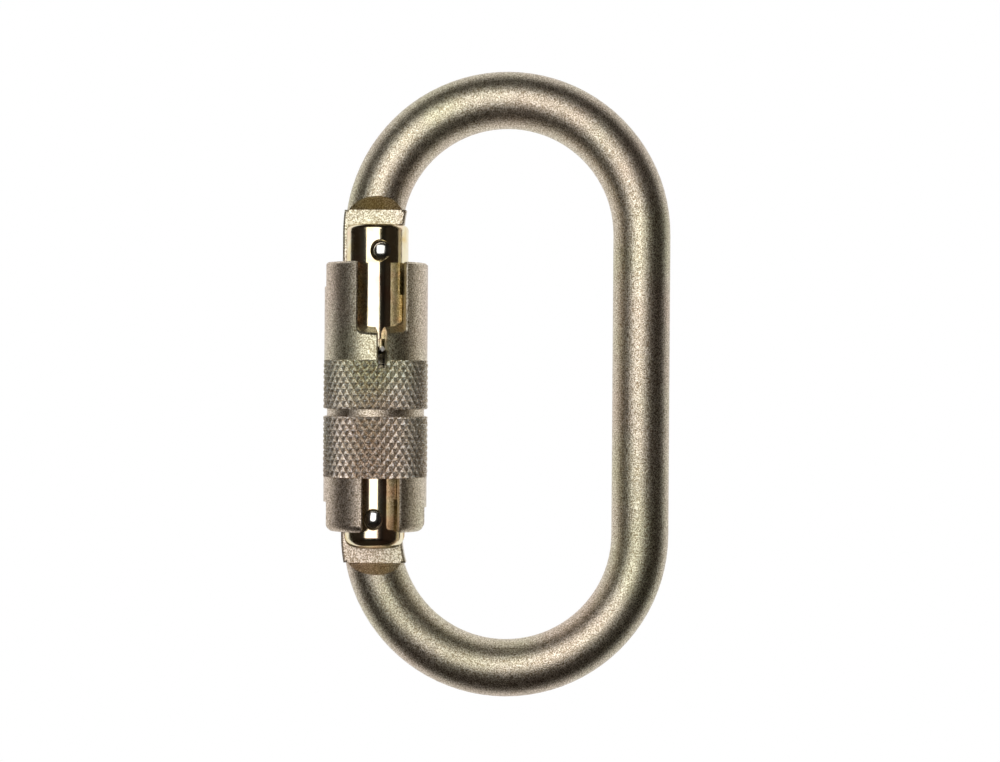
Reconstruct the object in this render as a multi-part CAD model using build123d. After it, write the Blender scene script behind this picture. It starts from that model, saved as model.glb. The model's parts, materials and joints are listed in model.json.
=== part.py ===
from build123d import *
import math
import os

os.makedirs("parts", exist_ok=True)

# Locking carabiner: an oval of round steel rod, a hinged gate and a quarter-turn locking sleeve.
# Millimetres. X runs from the gate (-X) to the spine (+X), Z from the hinge end up to the latch end,
# and Y through the thickness, with the front at -Y. Heights are counted from the middle of the oval.
# Every piece is written out with the inside of the upper bow, where the carabiner hangs, at the origin.

# ---- frame ----
rod_d = 10.0                 # rod diameter
bow_inner_r = 18.5           # inside radius of both bows
straight = 52.5              # distance between the centres of the two bows

# ---- pressed flats at the rod's two ends ----
flat_t = 4.2                 # thickness
flat_bulge = 0.3             # how far a flat spreads past the rod on each edge
flat_edge = 0.35             # bevel round the outline of a flat
nose_flat_end = 4.0          # end of the upper flat above the start of its bow
nose_shoulder_rise = 2.2     # length of the slope that leads up to the rod's face
hinge_flat_end = 5.1         # end of the lower flat below the start of its bow
hinge_shoulder_rise = 1.9

# ---- gate barrel ----
gate_inset = 0.5             # the gate's axis lies this far inside the rod's
barrel_r = 5.6
bottom_fillet = 2.0
top_fillet = 1.0
fork_gap = 0.15              # clearance of a fork on each face of the flat inside it
fork_wall = 1.7              # wall that closes the upper fork on its inner side
neck_depth = 1.3             # depth of the neck that carries the sleeve spring
neck_margin = 1.8            # top of the neck above the spring's leg
neck_spare = 0.8             # length of the neck below the spring

# ---- rivets ----
shank_r = 1.3
head_r = 1.6
head_depth = 0.9             # seat of a head below the barrel's surface
head_sink = 0.1              # top of the dome below the barrel's surface
dome = 0.45                  # height of the dome
rim_bevel = 0.3              # bevelled rim round a head
pin_gap = 0.05               # running clearance of the hinge rivet in the frame

# ---- hinge ----
hinge_above_bow = 2.65       # rivet above the start of the lower bow
barrel_below_hinge = 5.2     # lower end of the barrel
eye_top = 4.2                # flat top of the hinge eye above the rivet
eye_corner_r = 4.0           # its outer corner
eye_edge_r = 0.5             # its inner corner
fork_room = 0.3              # room above the eye's corner as it turns

# ---- latch ----
latch_below_bow = 3.25       # rivet below the start of the upper bow
latch_offset = 1.15          # rivet inwards of the gate's axis
barrel_above_latch = 4.7     # upper end of the barrel
nose_below_latch = 4.1       # lower end of the nose
nose_corner_r = 1.6
nose_gap = 0.3               # clearance of the nose from the closed side of the fork
step_gap = 0.15              # clearance of the nose's step from the end of the barrel
notch_gap = 0.2              # clearance of the latch rivet in the nose's notch
notch_fall = 5.0             # degrees by which the notch's lower wall falls towards its mouth
latch_fork_room = 1.6        # room below the nose

# ---- plunger and gate spring ----
plunger_r = 1.6
plunger_gap = 0.1            # running clearance of the plunger in its bore
plunger_rest = 0.05          # gap between the plunger and the eye
plunger_length = 7.2
gate_wire = 0.5
gate_coil_r = 1.15           # mean radius of the coil
gate_spring_length = 12.0
gate_turns = 5
spring_seat = 0.1            # gap at the ends of the gate spring

# ---- sleeve ----
sleeve_r = 9.03              # plain surface
sleeve_below_hinge = 2.2     # lower end of the sleeve
sleeve_below_latch = 2.0     # upper end of the sleeve
bore_gap = 0.1               # running clearance of the sleeve on the barrel
bottom_rim_r = 1.3
top_rim = 0.35               # bevel of the upper rim
end_bore_gap = 0.3           # clearance of the end counterbores round the flats
end_bore_depth = 5.6

# ---- knurled bands and the ring groove between them ----
band_drop = 17.0             # top of the upper band below the top of the sleeve
upper_band = 8.5             # height of each band
lower_band = 10.65
knurl_proud = 0.12           # bands stand proud of the plain surface
knurl_bevel = 0.2
ring_groove = 0.65           # depth of the groove below the faces of the bands
ring_groove_w = 1.25

# ---- cut-outs of the sleeve ----
notch_azimuth = 10.5         # degrees from the front towards the inner side, at rest
slot_edge = 0.3              # bevel along the outer edges of the cut-outs
top_notch_w = 8.45
top_notch_depth = 12.5
top_notch_slope = 20.0       # degrees by which its floor rises towards the bore
top_notch_corner = 0.6
slit_w = 1.6
slit_depth = 18.4
end_slot_w = 6.4
end_slot_depth = 9.4
side_slot_depth = 5.1
relief_gap = 0.4             # side clearance of the flats in the two relief slots
nose_relief_depth = 4.2
hinge_relief_depth = 4.2

# ---- sleeve spring ----
spring_wire = 0.7
spring_fit = 0.3             # gap between the coil and the neck
spring_pitch = 0.8
spring_turns = 5
leg_drop = 15.1              # leg below the top of the sleeve
leg_sink = 0.5               # end of the leg below the sleeve's surface

# ---- stop pin and its groove in the sleeve ----
sleeve_turn = 100.0          # degrees that the sleeve turns
stop_above_hinge = 12.6
stop_r = 0.9
stop_reach = 0.9             # how far the pin stands out of the barrel
stop_depth = 2.6             # how deep it sits in the barrel
stop_gap = 0.12
stop_azimuth = 180.0         # at the back

coil_sides = 16              # straight lengths in a turn of either spring
overcut = 1.0                # how far a cut runs out past the surface it opens

# ---- sizes and places that follow ----
bow_r = bow_inner_r + rod_d / 2
half = straight / 2
inner_top = half + bow_inner_r
flat_outer_r = bow_inner_r + rod_d + flat_bulge
flat_inner_r = bow_inner_r - flat_bulge
flat_half = flat_t / 2
fork_half = flat_half + fork_gap
nose_shoulder_z = half + nose_flat_end
hinge_shoulder_z = -half - hinge_flat_end

gate_x = gate_inset - bow_r
hinge_z = hinge_above_bow - half
latch_x = gate_x + latch_offset
latch_z = half - latch_below_bow
barrel_bottom = hinge_z - barrel_below_hinge
barrel_top = latch_z + barrel_above_latch
eye_right = -flat_inner_r - gate_x
hinge_fork_z = hinge_z + math.hypot(eye_right, eye_top) + fork_room
nose_z = latch_z - nose_below_latch
latch_fork_z = nose_z - latch_fork_room

sleeve_bottom = hinge_z - sleeve_below_hinge
sleeve_top = latch_z - sleeve_below_latch
bore_r = barrel_r + bore_gap
band_r = sleeve_r + knurl_proud
end_bore_r = max(flat_outer_r + gate_x, eye_right, barrel_r) + end_bore_gap
leg_z = sleeve_top - leg_drop
neck_r = barrel_r - neck_depth
neck_top = leg_z + neck_margin
neck_bottom = leg_z - spring_pitch * spring_turns - neck_spare
coil_r = neck_r + spring_fit + spring_wire / 2
plunger_bottom = hinge_z + eye_top + plunger_rest
plunger_top = plunger_bottom + plunger_length
chamber_top = plunger_top + gate_spring_length + 2 * spring_seat
stop_z = hinge_z + stop_above_hinge


def save(name, shape):
    """Write a piece with the inside of the upper bow at the origin."""
    export_step(Pos(0, 0, -inner_top) * shape, f"parts/{name}.step")


def upright(radius, bottom, top):
    """A round bar on the gate's axis between two heights."""
    return Pos(gate_x, 0, (bottom + top) / 2) * Cylinder(radius, top - bottom)


def across(radius, x, z, length):
    """A round bar along Y, centred on the oval's plane."""
    return Pos(x, 0, z) * Rot(90, 0, 0) * Cylinder(radius, length)


def block(x0, x1, y0, y1, z0, z1):
    """A box between two corners."""
    middle = Pos((x0 + x1) / 2, (y0 + y1) / 2, (z0 + z1) / 2)
    return middle * Box(x1 - x0, y1 - y0, z1 - z0)


def plate(outline, thickness):
    """Extrude an outline drawn in the XZ plane evenly to both sides."""
    return extrude(Plane.XZ * outline, thickness / 2, both=True)


def on_gate(shape, azimuth):
    """Turn a piece made at the front of the Z axis to an azimuth round the gate."""
    return Pos(gate_x, 0, 0) * Rot(0, 0, azimuth) * shape


def helix_wire(coil, pitch, turns, wire, bottom, tip):
    """A coil of square wire round the Z axis in short straight lengths, ending at a radius of tip."""
    points = []
    for k in range(turns * coil_sides + 1):
        angle = 2 * math.pi * k / coil_sides
        height = bottom + pitch * k / coil_sides
        points.append((coil * math.cos(angle), coil * math.sin(angle), height))
    if tip > coil:
        points.append((tip, 0, bottom + pitch * turns))
    path = Polyline(*points)
    section = Plane(origin=path @ 0, x_dir=(1, 0, 0), z_dir=path % 0) * Rectangle(wire, wire)
    return sweep(section, path=path, transition=Transition.RIGHT)


def flat_band():
    """The pressed flats' outline all round the oval, as one flat plate."""
    outer = SlotCenterToCenter(straight, 2 * flat_outer_r, rotation=90)
    inner = SlotCenterToCenter(straight, 2 * flat_inner_r, rotation=90)
    return plate(outer - inner, flat_t)


def rounded_along_y(shape, radius, x, z):
    """Round the edge that runs along Y nearest to a point of the XZ plane."""
    edges = shape.edges().filter_by(Axis.Y)
    nearest = edges.sort_by_distance(Vector(x, 0, z))[0]
    return fillet(nearest, radius)


def softened(flat):
    """Bevel the outline of a flat on both faces."""
    faces = flat.faces().sort_by(Axis.Y)
    return chamfer(faces[0].edges() + faces[-1].edges(), flat_edge)


def hinge_eye():
    """The lower flat, drilled for the hinge rivet, with a flat top for the plunger."""
    top = hinge_z + eye_top
    right = gate_x + eye_right
    eye = flat_band() & block(-flat_outer_r - overcut, 0, -rod_d, rod_d, hinge_shoulder_z, top)
    eye = rounded_along_y(eye, eye_corner_r, -flat_outer_r, top)
    eye = rounded_along_y(eye, eye_edge_r, right, top)
    eye = softened(eye)
    return eye - across(shank_r + pin_gap, gate_x, hinge_z, rod_d)


def nose():
    """The upper flat: a hook whose notch catches the latch rivet and opens to the inner side."""
    step_z = barrel_top + step_gap
    lip_x = gate_x + barrel_r - fork_wall - nose_gap
    left = -flat_outer_r
    flat = flat_band() & block(left - overcut, 0, -rod_d, rod_d, nose_z, nose_shoulder_z)
    flat = rounded_along_y(flat, nose_corner_r, left, nose_z)
    flat = softened(flat)
    flat -= block(lip_x, 0, -rod_d, rod_d, nose_z - overcut, step_z)
    flat = rounded_along_y(flat, nose_corner_r / 2, lip_x, nose_z)
    seat_r = shank_r + notch_gap
    mouth = lip_x - latch_x + overcut
    drop = mouth * math.tan(math.radians(notch_fall))
    corners = [(0, seat_r), (mouth, seat_r), (mouth, -seat_r - drop), (0, -seat_r)]
    throat = make_face(Polyline(*corners, close=True)) + Circle(seat_r)
    return flat - Pos(latch_x, 0, latch_z) * plate(throat, rod_d)


def shoulder(z, rise, way):
    """What pressing takes off the rod's front, up to a sloped shoulder. way is +1 for the upper end."""
    steep = rise / (rod_d / 2 - flat_half)
    reach = rod_d
    sloped = z + way * steep * (reach - flat_half)
    far = z - way * 4 * rod_d
    corners = [(-flat_half, z), (-reach, sloped), (-reach, far), (-flat_half, far)]
    side = make_face(Polyline(*corners, close=True))
    return extrude(Plane.YZ * side, -(flat_outer_r + rod_d))


def bow_arc(way, start, end):
    """Part of a bow's centre line, in degrees from the spine. way is +1 for the upper bow."""
    points = []
    for angle in (start, (start + end) / 2, end):
        a = math.radians(angle)
        points.append((bow_r * math.cos(a), 0, way * (half + bow_r * math.sin(a))))
    return ThreePointArc(*points)


def frame():
    """The oval rod, with both ends pressed flat."""
    spine = Line((bow_r, 0, -half), (bow_r, 0, half))
    bends = [bow_arc(-1, 180, 135), bow_arc(-1, 135, 0), spine, bow_arc(1, 0, 135), bow_arc(1, 135, 180)]
    path = Wire(bends)
    section = Plane(origin=(-bow_r, 0, -half), z_dir=(0, 0, 1)) * Circle(rod_d / 2)
    rod = sweep(section, path=path)
    for z, rise, way in ((nose_shoulder_z, nose_shoulder_rise, 1),
                         (hinge_shoulder_z, hinge_shoulder_rise, -1)):
        front = shoulder(z, rise, way)
        rod -= front
        rod -= mirror(front, about=Plane.XZ)
    ends_low = hinge_shoulder_z + overcut
    ends_high = nose_shoulder_z - overcut
    rod -= block(-flat_outer_r - overcut, -bow_inner_r / 2, -rod_d, rod_d, ends_low, ends_high)
    return rod + hinge_eye() + nose()


def rivet_seat(x, z):
    """Bore and bevelled head seats of a rivet across the barrel."""
    face = math.sqrt(barrel_r ** 2 - (x - gate_x) ** 2)
    seat = across(shank_r, x, z, 2 * (barrel_r + overcut))
    for side in (-1, 1):
        middle = side * (face - head_depth + barrel_r / 2)
        seat += Pos(x, middle, z) * Rot(90, 0, 0) * Cylinder(head_r, barrel_r)
        bevel = Cone(head_r + 2 * rim_bevel, head_r, 2 * rim_bevel)
        seat += Pos(x, side * face, z) * Rot(side * 90, 0, 0) * bevel
    return seat


def rivet(x, z):
    """A rivet across the barrel, its domed heads just below the surface."""
    face = math.sqrt(barrel_r ** 2 - (x - gate_x) ** 2)
    base = face - head_depth
    shoulder_y = face - head_sink - dome
    ball_r = (head_r ** 2 + dome ** 2) / (2 * dome)
    half_profile = [Line((0, 0), (shank_r, 0)),
                    Line((shank_r, 0), (shank_r, base)),
                    Line((shank_r, base), (head_r, base)),
                    Line((head_r, base), (head_r, shoulder_y)),
                    RadiusArc((head_r, shoulder_y), (0, shoulder_y + dome), -ball_r),
                    Line((0, shoulder_y + dome), (0, 0))]
    turned = revolve(make_face(half_profile), axis=Axis.Y)
    return Pos(x, 0, z) * (turned + mirror(turned, about=Plane.XZ))


def gate_barrel():
    """The round gate: a fork at each end, a neck for the sleeve spring and a bore for the plunger."""
    barrel = upright(barrel_r, barrel_bottom, barrel_top)
    barrel = fillet(barrel.edges().group_by(Axis.Z)[0], bottom_fillet)
    barrel = fillet(barrel.edges().group_by(Axis.Z)[-1], top_fillet)
    neck = upright(barrel_r + overcut, neck_bottom, neck_top)
    neck -= upright(neck_r, neck_bottom, neck_top)
    barrel -= neck
    left = gate_x - barrel_r - overcut
    closed = gate_x + barrel_r - fork_wall
    open_side = gate_x + barrel_r + overcut
    barrel -= block(left, closed, -fork_half, fork_half, latch_fork_z, barrel_top + overcut)
    barrel -= block(left, open_side, -fork_half, fork_half, barrel_bottom - overcut, hinge_fork_z)
    barrel -= upright(plunger_r + plunger_gap, hinge_fork_z - overcut, chamber_top)
    barrel -= rivet_seat(gate_x, hinge_z)
    barrel -= rivet_seat(latch_x, latch_z)
    return barrel - stop_pin()


def stop_pin():
    """A pin in the barrel's wall whose end stands out into the sleeve's groove."""
    outer = barrel_r + stop_reach
    inner = barrel_r - stop_depth
    pin = Pos(0, -(outer + inner) / 2, stop_z) * Rot(90, 0, 0) * Cylinder(stop_r, outer - inner)
    return on_gate(pin, stop_azimuth)


def plunger():
    """A round pusher with a ball end that rests on the eye's flat top."""
    body = upright(plunger_r, plunger_bottom + plunger_r, plunger_top)
    return body + Pos(gate_x, 0, plunger_bottom + plunger_r) * Sphere(plunger_r)


def gate_spring():
    """The compression spring between the plunger and the end of its bore."""
    pitch = (gate_spring_length - gate_wire) / gate_turns
    bottom = plunger_top + spring_seat + gate_wire / 2
    coil = helix_wire(gate_coil_r, pitch, gate_turns, gate_wire, bottom, gate_coil_r)
    return Pos(gate_x, 0, 0) * coil


def sleeve_spring():
    """The torsion spring on the neck. Its leg stands in the sleeve's slit."""
    bottom = leg_z - spring_pitch * spring_turns
    tip = sleeve_r - leg_sink
    coil = helix_wire(coil_r, spring_pitch, spring_turns, spring_wire, bottom, tip)
    return on_gate(coil, notch_azimuth - 90)


def sleeve_blank():
    """The turned sleeve, with its bore, counterbores, knurled bands and the groove between them."""
    top = sleeve_top - band_drop
    groove_high = top - upper_band
    groove_low = groove_high - ring_groove_w
    low = groove_low - lower_band
    groove_r = band_r - ring_groove
    bevel = knurl_bevel
    points = [(bore_r, sleeve_bottom + end_bore_depth),
              (end_bore_r, sleeve_bottom + end_bore_depth),
              (end_bore_r, sleeve_bottom),
              (sleeve_r, sleeve_bottom),
              (sleeve_r, low),
              (band_r, low + bevel),
              (band_r, groove_low),
              (groove_r, groove_low),
              (groove_r, groove_high),
              (band_r, groove_high),
              (band_r, top - bevel),
              (sleeve_r, top),
              (sleeve_r, sleeve_top),
              (end_bore_r, sleeve_top),
              (end_bore_r, sleeve_top - end_bore_depth),
              (bore_r, sleeve_top - end_bore_depth)]
    profile = make_face(Polyline(*points, close=True))
    corner = profile.vertices().sort_by_distance((sleeve_r, sleeve_bottom))[0]
    profile = fillet(corner, bottom_rim_r)
    corner = profile.vertices().sort_by_distance((sleeve_r, sleeve_top))[0]
    profile = chamfer(corner, top_rim)
    return Pos(gate_x, 0, 0) * revolve(Plane.XZ * profile, axis=Axis.Z)


def end_cut(width, z0, z1, azimuth):
    """A slot with parallel sides through one wall of the sleeve."""
    return on_gate(block(-width / 2, width / 2, -2 * sleeve_r, 0, z0, z1), azimuth)


def top_notch():
    """The notch that lets the nose out, with a sloped floor and round lower corners."""
    start = band_r + overcut
    slope = math.radians(top_notch_slope)
    floor = sleeve_top - top_notch_depth - (start - sleeve_r) * math.tan(slope)
    height = sleeve_top + 2 * start - floor
    outline = Pos(0, floor + height / 2) * Rectangle(top_notch_w, height)
    outline = fillet(outline.vertices().group_by(Axis.Y)[0], top_notch_corner)
    face = Plane(origin=(0, -start, 0), x_dir=(1, 0, 0), z_dir=(0, -1, 0)) * outline
    inward = Vector(0, math.cos(slope), math.sin(slope))
    return extrude(face, (start - bore_r / 2) / math.cos(slope), dir=inward)


def pie_slice(radius, angle):
    """A pie slice that starts on the X axis and opens counter-clockwise."""
    end = (radius * math.cos(math.radians(angle)), radius * math.sin(math.radians(angle)))
    middle = (radius * math.cos(math.radians(angle / 2)), radius * math.sin(math.radians(angle / 2)))
    arc = ThreePointArc((radius, 0), middle, end)
    return make_face([Line((0, 0), (radius, 0)), arc, Line(end, (0, 0))])


def stop_groove():
    """The groove in the bore that the stop pin runs in, from locked to open."""
    ring = Cylinder(barrel_r + stop_reach + stop_gap, 2 * (stop_r + stop_gap))
    ring -= Cylinder(barrel_r, 2 * (stop_r + stop_gap))
    side = math.degrees(math.asin((stop_r + stop_gap) / (barrel_r + stop_reach)))
    sector = sleeve_turn + 2 * side
    start = stop_azimuth - 90 - side
    wedge = Rot(0, 0, start) * extrude(pie_slice(2 * barrel_r, sector), 4 * stop_r, both=True)
    return Pos(gate_x, 0, stop_z) * (ring & wedge)


def bevelled_slots(body):
    """Bevel the upright outer edges of the cut-outs."""
    edges = []
    for edge in body.edges().filter_by(Axis.Z):
        middle = edge @ 0.5
        away = math.hypot(middle.X - gate_x, middle.Y)
        if abs(away - sleeve_r) < slot_edge and edge.length > slot_edge * 4:
            edges.append(edge)
    return chamfer(edges, slot_edge)


def sleeve():
    """The locking sleeve with its notch, slit, slots and stop groove."""
    body = sleeve_blank()
    body -= on_gate(top_notch(), notch_azimuth)
    body -= end_cut(slit_w, sleeve_top - slit_depth, sleeve_top, notch_azimuth)
    for azimuth in (notch_azimuth, notch_azimuth + 180):
        body -= end_cut(end_slot_w, sleeve_bottom - overcut, sleeve_bottom + end_slot_depth, azimuth)
    body -= end_cut(end_slot_w, sleeve_bottom - overcut, sleeve_bottom + side_slot_depth, -90)
    relief_w = flat_t + 2 * relief_gap
    body -= end_cut(relief_w, sleeve_top - nose_relief_depth, sleeve_top + overcut, -90)
    body -= end_cut(relief_w, sleeve_bottom - overcut, sleeve_bottom + hinge_relief_depth, 90)
    return bevelled_slots(body) - stop_groove()


save("frame", frame())
save("gate_barrel", gate_barrel())
save("hinge_rivet", rivet(gate_x, hinge_z))
save("latch_rivet", rivet(latch_x, latch_z))
save("gate_plunger", plunger())
save("gate_spring", gate_spring())
save("sleeve", sleeve())
save("sleeve_spring", sleeve_spring())
save("sleeve_stop_pin", stop_pin())
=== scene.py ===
import bpy
import bmesh
import json
import math
from mathutils import Matrix, Vector

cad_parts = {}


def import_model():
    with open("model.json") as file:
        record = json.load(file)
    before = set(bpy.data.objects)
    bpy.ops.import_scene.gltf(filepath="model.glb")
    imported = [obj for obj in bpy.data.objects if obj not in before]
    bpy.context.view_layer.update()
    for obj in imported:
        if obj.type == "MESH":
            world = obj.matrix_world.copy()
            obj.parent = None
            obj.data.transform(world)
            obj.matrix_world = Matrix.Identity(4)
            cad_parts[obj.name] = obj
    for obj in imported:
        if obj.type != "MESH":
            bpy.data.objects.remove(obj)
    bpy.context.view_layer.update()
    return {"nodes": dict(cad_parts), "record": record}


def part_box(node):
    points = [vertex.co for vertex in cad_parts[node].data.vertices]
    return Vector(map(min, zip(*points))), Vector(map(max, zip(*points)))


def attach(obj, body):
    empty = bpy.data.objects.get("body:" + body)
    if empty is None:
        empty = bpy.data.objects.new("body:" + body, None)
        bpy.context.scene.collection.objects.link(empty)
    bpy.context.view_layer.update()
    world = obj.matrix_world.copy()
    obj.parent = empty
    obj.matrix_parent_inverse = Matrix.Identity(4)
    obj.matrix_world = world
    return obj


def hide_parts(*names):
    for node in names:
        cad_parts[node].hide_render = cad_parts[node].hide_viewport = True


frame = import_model()

# Sizes in metres, in the frame's own place. The gate is on the -X side and the front faces -Y.
MM = 0.001
frame_low, frame_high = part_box("frame")
barrel_low, barrel_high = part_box("gate_barrel")
gate_x = (barrel_low.x + barrel_high.x) / 2
oval_middle = (frame_low.z + frame_high.z) / 2

# ---------------------------------------------------------------- camera
CAMERA_BACK = 0.400          # distance from the oval's plane
VIEW_WIDTH = 0.1754          # width seen at the oval's plane
SENSOR = 36.0                # width of the sensor in millimetres
CLIP_START, CLIP_END = 0.01, 20
CAMERA_X = -0.00121          # aim, left of the oval's middle
CAMERA_UP = 0.00053          # aim, above the oval's middle
ROLL = math.radians(0.40)

# ---------------------------------------------------------------- stage
WALL_LEFT, WALL_RIGHT = -0.44, 0.32
WALL_FRONT, WALL_BACK = -0.64, 0.10
WALL_BELOW, WALL_ABOVE = 0.34, 0.42      # from the oval's middle
WALL_COLOUR = (0.030, 0.017, 0.008)
WALL_ROUGHNESS = 0.9
WORLD_STRENGTH = 0.15        # for diffuse light. Elsewhere the world is white, at a strength of 1
BOX_DISTANCE = 0.5
BOX_AZIMUTH = math.radians(-12)
BOX_RISE = math.radians(13)
BOX_WIDTH, BOX_HEIGHT = 0.44, 0.48
BOX_WATTS = 1.50

# ---------------------------------------------------------------- knurled sleeve
SLEEVE_R = 9.03 * MM         # plain surface of the sleeve
BAND_R = 9.15 * MM           # tops of the knurl
SLEEVE_MARGIN = 0.02 * MM    # what stands further out than this belongs to the plain bands
UNDER_KNURL = 8.5 * MM       # radius of the body below the knurled skins
KNURL_DEPTH = 0.38 * MM
KNURL_BLUNT = 0.82           # share of a diamond's slope below its blunt top
DIAMONDS = 39                # round the sleeve
DIAMOND_HEIGHT = 2.04 * MM
KNURL_STEPS = 4              # mesh steps in half a diamond
BAND_BEVEL = 0.12 * MM       # at both ends of a band
NOTCH_AZIMUTH = math.radians(10.5)
SLIT_HALF = 0.8 * MM
SLIT_BOTTOM = 2.6 * MM       # above the oval's middle, as are the ends of the bands
UPPER_BAND = (-4.5 * MM, 4.0 * MM)
LOWER_BAND = (-16.4 * MM, -5.75 * MM)
SKIN = 0.5 * MM              # thickness of the knurled skins


def remove_start_scene():
    """Delete Blender's default cube, light and camera."""
    for name in ("Cube", "Light", "Camera"):
        if name in bpy.data.objects:
            bpy.data.objects.remove(bpy.data.objects[name])


def link(name, data):
    """Put data into the scene as an object."""
    made = bpy.data.objects.new(name, data)
    bpy.context.collection.objects.link(made)
    return made


def make_camera():
    """A level camera square to the oval, rolled a little."""
    data = bpy.data.cameras.new("camera")
    data.sensor_width = SENSOR
    data.lens = SENSOR * CAMERA_BACK / VIEW_WIDTH
    data.clip_start, data.clip_end = CLIP_START, CLIP_END
    camera = link("camera", data)
    camera.location = (CAMERA_X, -CAMERA_BACK, oval_middle + CAMERA_UP)
    level = Matrix.Rotation(math.pi / 2, 4, "X")
    camera.rotation_euler = (level @ Matrix.Rotation(ROLL, 4, "Z")).to_euler()
    bpy.context.scene.camera = camera


# ---------------------------------------------------------------- node helpers
def new_material(name):
    """A node material with an empty tree, and that tree."""
    made = bpy.data.materials.new(name)
    made.use_nodes = True
    made.node_tree.nodes.clear()
    return made, made.node_tree


def add(tree, kind, settings=None, **inputs):
    """Add a node. Inputs are values or sockets, by name with _ for a space, or by number as _0."""
    node = tree.nodes.new(kind)
    for key, value in (settings or {}).items():
        setattr(node, key, value)
    for key, value in inputs.items():
        place = int(key[1:]) if key[1:].isdigit() else key.replace("_", " ")
        socket = node.inputs[place]
        if isinstance(value, bpy.types.NodeSocket):
            tree.links.new(value, socket)
        else:
            socket.default_value = value
    return node


def ramp(tree, factor, stops):
    """A colour ramp. Stops are (position, colour) pairs."""
    node = tree.nodes.new("ShaderNodeValToRGB")
    elements = node.color_ramp.elements
    while len(elements) < len(stops):
        elements.new(1.0)
    for element, (position, colour) in zip(elements, stops):
        element.position = position
        element.color = (*colour, 1.0)
    tree.links.new(factor, node.inputs["Fac"])
    return node.outputs["Color"]


def noise(tree, vector, scale, detail, roughness):
    """The grey value of a noise texture."""
    node = add(tree, "ShaderNodeTexNoise",
               Vector=vector, Scale=scale, Detail=detail, Roughness=roughness)
    return node.outputs["Fac"]


def grey(value):
    """A grey as a colour."""
    return (value, value, value)


def multiply_colour(tree, a, b):
    """The product of two colours."""
    settings = {"data_type": "RGBA", "blend_type": "MULTIPLY"}
    return add(tree, "ShaderNodeMix", settings, _0=1.0, _6=a, _7=b).outputs[2]


def maths(tree, operation, a, b):
    """The result of a sum of two values."""
    return add(tree, "ShaderNodeMath", {"operation": operation}, _0=a, _1=b).outputs[0]


def metal(tree, colour, roughness, height, strength, distance):
    """Give a material a metal surface with a bump."""
    bump = add(tree, "ShaderNodeBump", Strength=strength, Distance=distance, Height=height)
    shader = add(tree, "ShaderNodeBsdfPrincipled", Base_Color=colour, Metallic=1.0,
                 Roughness=roughness, Normal=bump.outputs["Normal"])
    add(tree, "ShaderNodeOutputMaterial", Surface=shader.outputs[0])


# ---------------------------------------------------------------- materials
def blasted_plating(name, roughness, gain):
    """Blasted steel under yellow zinc plating: a warm grain with faint pink and green tints."""
    mat, tree = new_material(name)
    place = add(tree, "ShaderNodeTexCoord").outputs["Object"]
    grain = noise(tree, place, 4600.0, 2.0, 0.7)
    coarse = noise(tree, place, 1500.0, 3.0, 0.6)
    tint = noise(tree, place, 55.0, 2.0, 0.5)
    shades = [(0.38, (0.27, 0.20, 0.12)),
              (0.50, (0.58, 0.50, 0.37)),
              (0.60, (0.95, 0.87, 0.73))]
    gained = [(stop, tuple(min(gain * c, 1.0) for c in shade)) for stop, shade in shades]
    tints = ramp(tree, tint, [(0.35, (0.95, 1.0, 0.91)),
                              (0.50, (1.0, 1.0, 1.0)),
                              (0.65, (1.0, 0.94, 0.96))])
    colour = multiply_colour(tree, ramp(tree, grain, gained), tints)
    smooth, dull = grey(roughness - 0.08), grey(roughness + 0.08)
    rough = ramp(tree, coarse, [(0.3, smooth), (0.7, dull)])
    height = maths(tree, "ADD", grain, maths(tree, "MULTIPLY", coarse, 0.8))
    metal(tree, colour, rough, height, 0.75, 0.06 * MM)
    return mat


def polished_plating():
    """Polished steel under the same plating, with fine marks along the barrel."""
    mat, tree = new_material("polished_plating")
    place = add(tree, "ShaderNodeTexCoord").outputs["Object"]
    stretched = add(tree, "ShaderNodeMapping", Vector=place, Scale=(900.0, 900.0, 60.0)).outputs[0]
    marks = noise(tree, stretched, 1.0, 3.0, 0.6)
    tint = noise(tree, place, 260.0, 2.0, 0.5)
    colour = ramp(tree, tint, [(0.3, (0.78, 0.60, 0.30)),
                               (0.5, (0.86, 0.78, 0.56)),
                               (0.7, (0.86, 0.60, 0.42))])
    rough = ramp(tree, marks, [(0.35, grey(0.10)), (0.75, grey(0.22))])
    metal(tree, colour, rough, marks, 0.12, 0.03 * MM)
    return mat


def bright_steel(name, colour_low, colour_high, roughness):
    """Bare bright steel with faint marks."""
    mat, tree = new_material(name)
    place = add(tree, "ShaderNodeTexCoord").outputs["Object"]
    marks = noise(tree, place, 1800.0, 3.0, 0.6)
    colour = ramp(tree, marks, [(0.3, colour_low), (0.7, colour_high)])
    metal(tree, colour, roughness, marks, 0.1, 0.03 * MM)
    return mat


# ---------------------------------------------------------------- stage
def world():
    """White to the camera and in reflections, soft and pale for everything else."""
    made = bpy.data.worlds.new("studio")
    bpy.context.scene.world = made
    made.use_nodes = True
    tree = made.node_tree
    tree.nodes.clear()
    rays = add(tree, "ShaderNodeLightPath").outputs
    seen = maths(tree, "MAXIMUM", rays["Is Camera Ray"], rays["Is Glossy Ray"])
    seen = maths(tree, "MAXIMUM", seen, rays["Is Transmission Ray"])
    extra = maths(tree, "MULTIPLY", seen, 1 - WORLD_STRENGTH)
    strength = maths(tree, "ADD", extra, WORLD_STRENGTH)
    shader = add(tree, "ShaderNodeBackground", Color=(1, 1, 1, 1), Strength=strength)
    add(tree, "ShaderNodeOutputWorld", Surface=shader.outputs[0])


def wall_material():
    """Matt dark brown."""
    mat, tree = new_material("dark_wall")
    shader = add(tree, "ShaderNodeBsdfPrincipled",
                 Base_Color=(*WALL_COLOUR, 1.0), Roughness=WALL_ROUGHNESS)
    add(tree, "ShaderNodeOutputMaterial", Surface=shader.outputs[0])
    return mat


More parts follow.
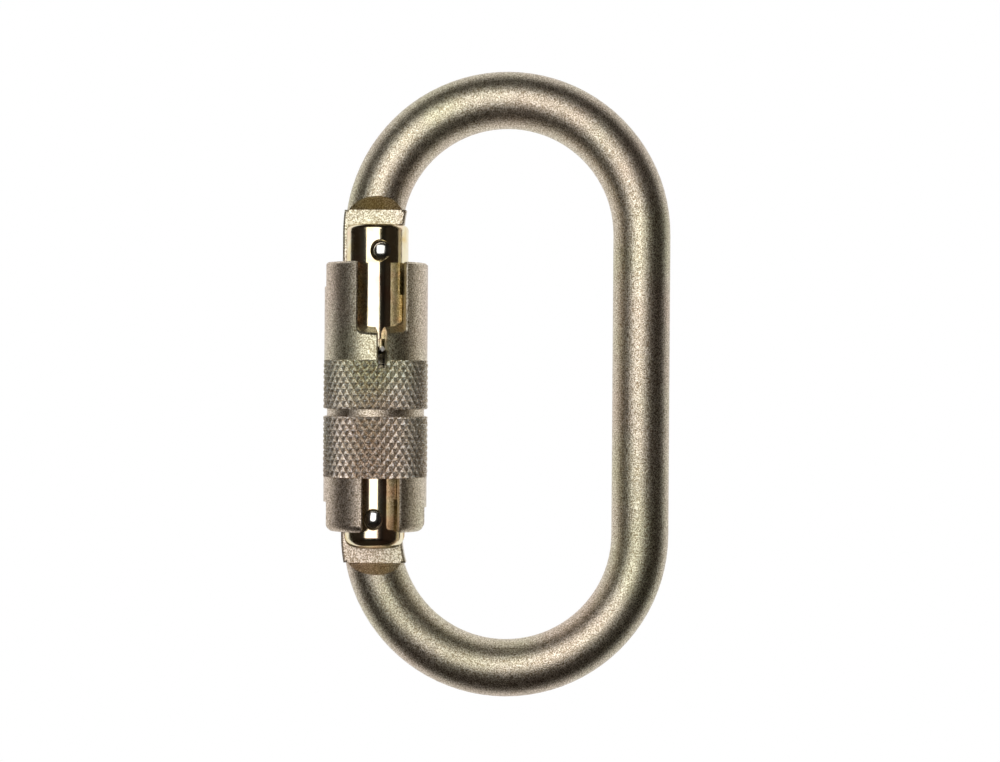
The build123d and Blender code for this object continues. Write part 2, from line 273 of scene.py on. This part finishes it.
def wall(name, x, y, z, mat):
    """A flat wall of the stage. One of x, y and z is a single value, and the others are ranges."""
    if not isinstance(x, tuple):
        corners = [(x, y[i], z[j]) for i, j in ((0, 0), (1, 0), (1, 1), (0, 1))]
    elif not isinstance(y, tuple):
        corners = [(x[i], y, z[j]) for i, j in ((0, 0), (1, 0), (1, 1), (0, 1))]
    else:
        corners = [(x[i], y[j], z) for i, j in ((0, 0), (1, 0), (1, 1), (0, 1))]
    mesh = bpy.data.meshes.new(name)
    mesh.from_pydata(corners, [], [(0, 1, 2, 3)])
    mesh.materials.append(mat)
    piece = link(name, mesh)
    piece.visible_camera = False


def soft_box():
    """The only lamp, high on the left of the front and aimed at the oval's middle."""
    data = bpy.data.lights.new("front_box", "AREA")
    data.shape = "RECTANGLE"
    data.size, data.size_y = BOX_WIDTH, BOX_HEIGHT
    data.energy = BOX_WATTS
    light = link("front_box", data)
    aim = Vector((0, 0, oval_middle))
    light.location = aim + BOX_DISTANCE * Vector((math.sin(BOX_AZIMUTH) * math.cos(BOX_RISE),
                                                  -math.cos(BOX_AZIMUTH) * math.cos(BOX_RISE),
                                                  math.sin(BOX_RISE)))
    light.rotation_euler = (aim - light.location).to_track_quat("-Z", "Y").to_euler()


def make_stage():
    """A dark room, open at its back towards a white background."""
    world()
    dark = wall_material()
    width, depth = (WALL_LEFT, WALL_RIGHT), (WALL_FRONT, WALL_BACK)
    low, high = oval_middle - WALL_BELOW, oval_middle + WALL_ABOVE
    wall("wall_left", WALL_LEFT, depth, (low, high), dark)
    wall("wall_right", WALL_RIGHT, depth, (low, high), dark)
    wall("wall_top", width, depth, high, dark)
    wall("wall_bottom", width, depth, low, dark)
    wall("wall_front", width, WALL_FRONT, (low, high), dark)
    soft_box()


# ---------------------------------------------------------------- knurled sleeve
def triangle_wave(t):
    """0 at whole numbers and 1 halfway between them."""
    return 1.0 - abs(2.0 * (t - math.floor(t)) - 1.0)


def knurl_height(turns, z):
    """Height of the diamond knurl, 0 in its grooves and 1 on its blunt tops."""
    up = triangle_wave(DIAMONDS * turns + z / DIAMOND_HEIGHT)
    down = triangle_wave(DIAMONDS * turns - z / DIAMOND_HEIGHT)
    return min(min(up, down) / KNURL_BLUNT, 1.0)


def in_slit(column, columns):
    """Whether a column of the knurl's mesh lies over the sleeve's slit."""
    away = 2 * math.pi * (column + 0.5) / columns - NOTCH_AZIMUTH
    return math.cos(away) > 0 and abs(math.sin(away)) * BAND_R < SLIT_HALF


def knurl_band(name, low, high, slit_bottom):
    """A ring of diamond knurl between two heights, as a closed skin, cut by the slit above a height."""
    columns = 2 * DIAMONDS * KNURL_STEPS
    step = DIAMOND_HEIGHT / 2 / KNURL_STEPS
    between = range(math.ceil(low / step), math.floor(high / step) + 1)
    heights = [low] + [k * step for k in between if low < k * step < high] + [high]
    mesh = bmesh.new()
    rows = []
    for z in heights:
        bevel = 1 - min(min(z - low, high - z) / BAND_BEVEL, 1.0)
        row = []
        for c in range(columns):
            turns = c / columns
            r = BAND_R - KNURL_DEPTH * (1 - knurl_height(turns, z)) - BAND_BEVEL * bevel
            angle = 2 * math.pi * turns
            x, y = gate_x + r * math.sin(angle), -r * math.cos(angle)
            row.append(mesh.verts.new((x, y, oval_middle + z)))
        rows.append(row)
    for i, (lower, upper) in enumerate(zip(rows, rows[1:])):
        for c in range(columns):
            if heights[i] + step / 2 > slit_bottom and in_slit(c, columns):
                continue
            d = (c + 1) % columns
            a, b, e, f = lower[c], lower[d], upper[d], upper[c]
            if (c + round(heights[i] / step)) % 2 == 0:
                mesh.faces.new((a, b, e))
                mesh.faces.new((a, e, f))
            else:
                mesh.faces.new((a, b, f))
                mesh.faces.new((b, e, f))
    for vertex in [v for v in mesh.verts if not v.link_faces]:
        mesh.verts.remove(vertex)
    data = bpy.data.meshes.new(name)
    mesh.to_mesh(data)
    mesh.free()
    piece = link(name, data)
    skin = piece.modifiers.new("skin", "SOLIDIFY")
    skin.thickness = SKIN
    skin.offset = -1
    return piece


def sleeve_body():
    """The sleeve's own shape, drawn in under the knurled skins."""
    data = frame["nodes"]["sleeve"].data.copy()
    data.name = "sleeve_body"
    for v in data.vertices:
        away = Vector((v.co.x - gate_x, v.co.y))
        if away.length > SLEEVE_R + SLEEVE_MARGIN:
            away = away.normalized() * UNDER_KNURL
            v.co.x, v.co.y = gate_x + away.x, away.y
    return link("sleeve_body", data)


def make_sleeve(plain_finish, knurl_finish):
    """The plain sleeve and its two knurled bands, in place of the sleeve's solid."""
    pieces = [(sleeve_body(), plain_finish),
              (knurl_band("knurl_upper", *UPPER_BAND, SLIT_BOTTOM), knurl_finish),
              (knurl_band("knurl_lower", *LOWER_BAND, SLIT_BOTTOM), knurl_finish)]
    for piece, finish in pieces:
        piece.data.materials.clear()
        piece.data.materials.append(finish)
        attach(piece, "lock")
        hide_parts("sleeve")


remove_start_scene()
bpy.context.scene.view_settings.view_transform = "Standard"
make_camera()
make_stage()

plating = blasted_plating("blasted_plating", 0.40, 1.0)
knurl_plating = blasted_plating("knurled_plating", 0.46, 1.3)
finishes = {
    "plated_steel": plating,
    "polished_steel": polished_plating(),
    "rivet_steel": bright_steel("rivet_steel", (0.62, 0.60, 0.56), (0.82, 0.80, 0.76), 0.16),
    "spring_steel": bright_steel("spring_wire", (0.50, 0.46, 0.40), (0.74, 0.71, 0.66), 0.22),
}
for entry in frame["record"]["subparts"]:
    mesh = frame["nodes"][entry["node"]].data
    mesh.materials.clear()
    mesh.materials.append(finishes[entry["material_slot"]])

make_sleeve(plating, knurl_plating)
